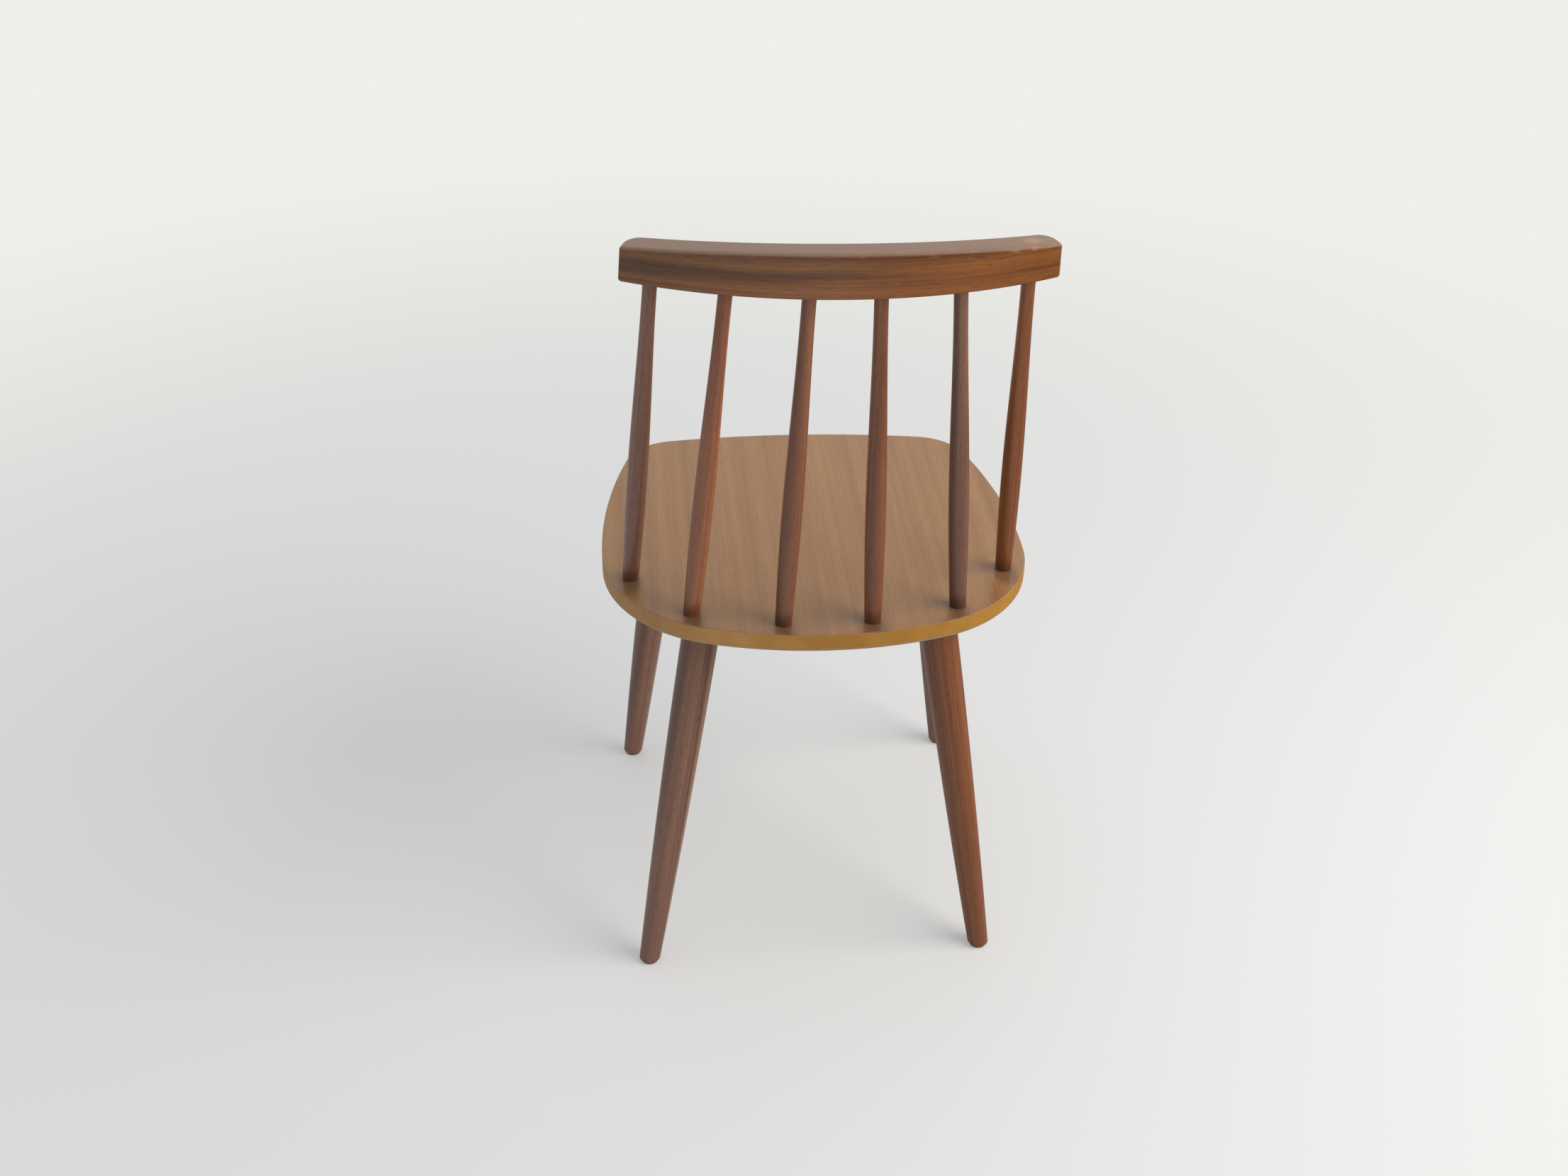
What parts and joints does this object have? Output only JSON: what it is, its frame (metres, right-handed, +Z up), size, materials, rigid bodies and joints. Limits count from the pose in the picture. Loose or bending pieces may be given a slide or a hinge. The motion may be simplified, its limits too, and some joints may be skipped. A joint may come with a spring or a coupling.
{
  "type": "dining chair",
  "caption": "Spindle-back dining chair: flat rounded veneered seat on splayed turned legs, with turned back spindles under a bent crest rail.",
  "frame": {"origin": "on the floor, under the middle of the chair's overall width and depth", "axes": "+Z up from the floor, +X to the sitter's left, -Y the way the chair faces"},
  "size_m": [0.443, 0.4506, 0.8476],
  "materials": {
    "seat_veneer": "satin lacquer over straight fore-and-aft grain",
    "backing_veneer": "matt, sanded",
    "plywood": "satin lacquered edge",
    "turned_teak": "satin oil and lacquer",
    "beech": "planed, matt",
    "steel": "bright drawn wire",
    "glide_nylon": "moulded brown, scuffed"
  },
  "bodies": {
    "root": {"crest_rail": "turned_teak", "front_batten": "beech", "front_batten_screws": "steel", "glide_front_left": "glide_nylon", "glide_front_right": "glide_nylon", "glide_nails": "steel", "glide_rear_left": "glide_nylon", "glide_rear_right": "glide_nylon", "leg_front_left": "turned_teak", "leg_front_right": "turned_teak", "leg_rear_left": "turned_teak", "leg_rear_right": "turned_teak", "leg_wedge_front_left": "beech", "leg_wedge_front_right": "beech", "leg_wedge_rear_left": "beech", "leg_wedge_rear_right": "beech", "rear_batten": "beech", "rear_batten_screws": "steel", "seat_bottom_veneer": "backing_veneer", "seat_core": "plywood", "seat_top_veneer": "seat_veneer", "spindle_inner_left": "turned_teak", "spindle_inner_right": "turned_teak", "spindle_middle_left": "turned_teak", "spindle_middle_right": "turned_teak", "spindle_outer_left": "turned_teak", "spindle_outer_right": "turned_teak", "spindle_wedge_inner_left": "beech", "spindle_wedge_inner_right": "beech", "spindle_wedge_middle_left": "beech", "spindle_wedge_middle_right": "beech", "spindle_wedge_outer_left": "beech", "spindle_wedge_outer_right": "beech"}
  },
  "joints": []
}
